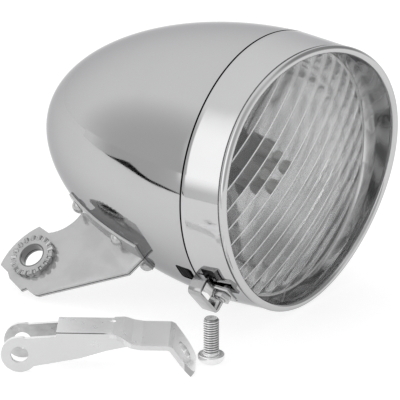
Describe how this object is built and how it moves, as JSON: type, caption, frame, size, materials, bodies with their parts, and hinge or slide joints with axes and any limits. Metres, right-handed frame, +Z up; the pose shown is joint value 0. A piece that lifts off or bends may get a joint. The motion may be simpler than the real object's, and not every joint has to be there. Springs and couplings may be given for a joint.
{
  "type": "bicycle headlight kit",
  "caption": "Retro chromed bicycle headlight lying on its side, with a fluted round lens, a toothed mounting lug, and a loose bracket arm and screw.",
  "frame": {"origin": "middle of the whole layout's box, on the ground the pieces lie on", "axes": "+X from the lamp's domed back to its lens, +Y from the loose bracket arm towards the lamp, +Z up"},
  "size_m": [0.1114, 0.1458, 0.09],
  "materials": {
    "polished_chrome": "polished",
    "clear_lens": "clear",
    "black_rubber": "matte",
    "reflector_mirror": "mirror",
    "satin_zinc": "satin",
    "clear_diode": "gloss",
    "board_green": "satin",
    "black_plastic": "satin",
    "cell_sleeve": "gloss",
    "contact_brass": "satin"
  },
  "bodies": {
    "lamp": {"shell": "polished_chrome", "lug_plate_near": "polished_chrome", "lug_plate_far": "polished_chrome", "lug_serrated_ring": "polished_chrome", "lug_rivets": "polished_chrome", "battery_carrier": "black_plastic", "batteries": "cell_sleeve", "battery_springs": "satin_zinc", "battery_contacts": "contact_brass", "switch_body": "black_plastic"},
    "front": {"bezel_ring": "polished_chrome", "lens": "clear_lens", "lens_gasket": "black_rubber", "reflector": "reflector_mirror", "lens_clips": "satin_zinc", "led_holder": "black_plastic", "leds": "clear_diode", "led_board": "board_green", "clamp_stirrup": "polished_chrome", "clamp_screw": "satin_zinc"},
    "clamp_nut": {"clamp_nut": "satin_zinc"},
    "switch": {"switch_slider": "black_plastic"},
    "arm": {"mounting_arm": "satin_zinc"},
    "screw": {"arm_screw": "satin_zinc"}
  },
  "joints": [
    {"name": "front_pull", "type": "slide", "parent": "lamp", "child": "front", "axis": [1, 0, 0], "range_m": [0, 0.06]},
    {"name": "clamp_nut_turn", "type": "hinge", "parent": "front", "child": "clamp_nut", "pos_m": [0.04023, -0.00679, 0.01325], "axis": [0, -0.7373, -0.6756], "continuous": true},
    {"name": "switch_slide", "type": "slide", "parent": "lamp", "child": "switch", "axis": [1, 0, 0], "range_m": [0, 0.0022]},
    {"name": "arm_lift", "type": "slide", "parent": "lamp", "child": "arm", "axis": [0, 0, 1], "range_m": [0, 0.06]},
    {"name": "screw_lift", "type": "slide", "parent": "lamp", "child": "screw", "axis": [0, 0, 1], "range_m": [0, 0.06]}
  ]
}
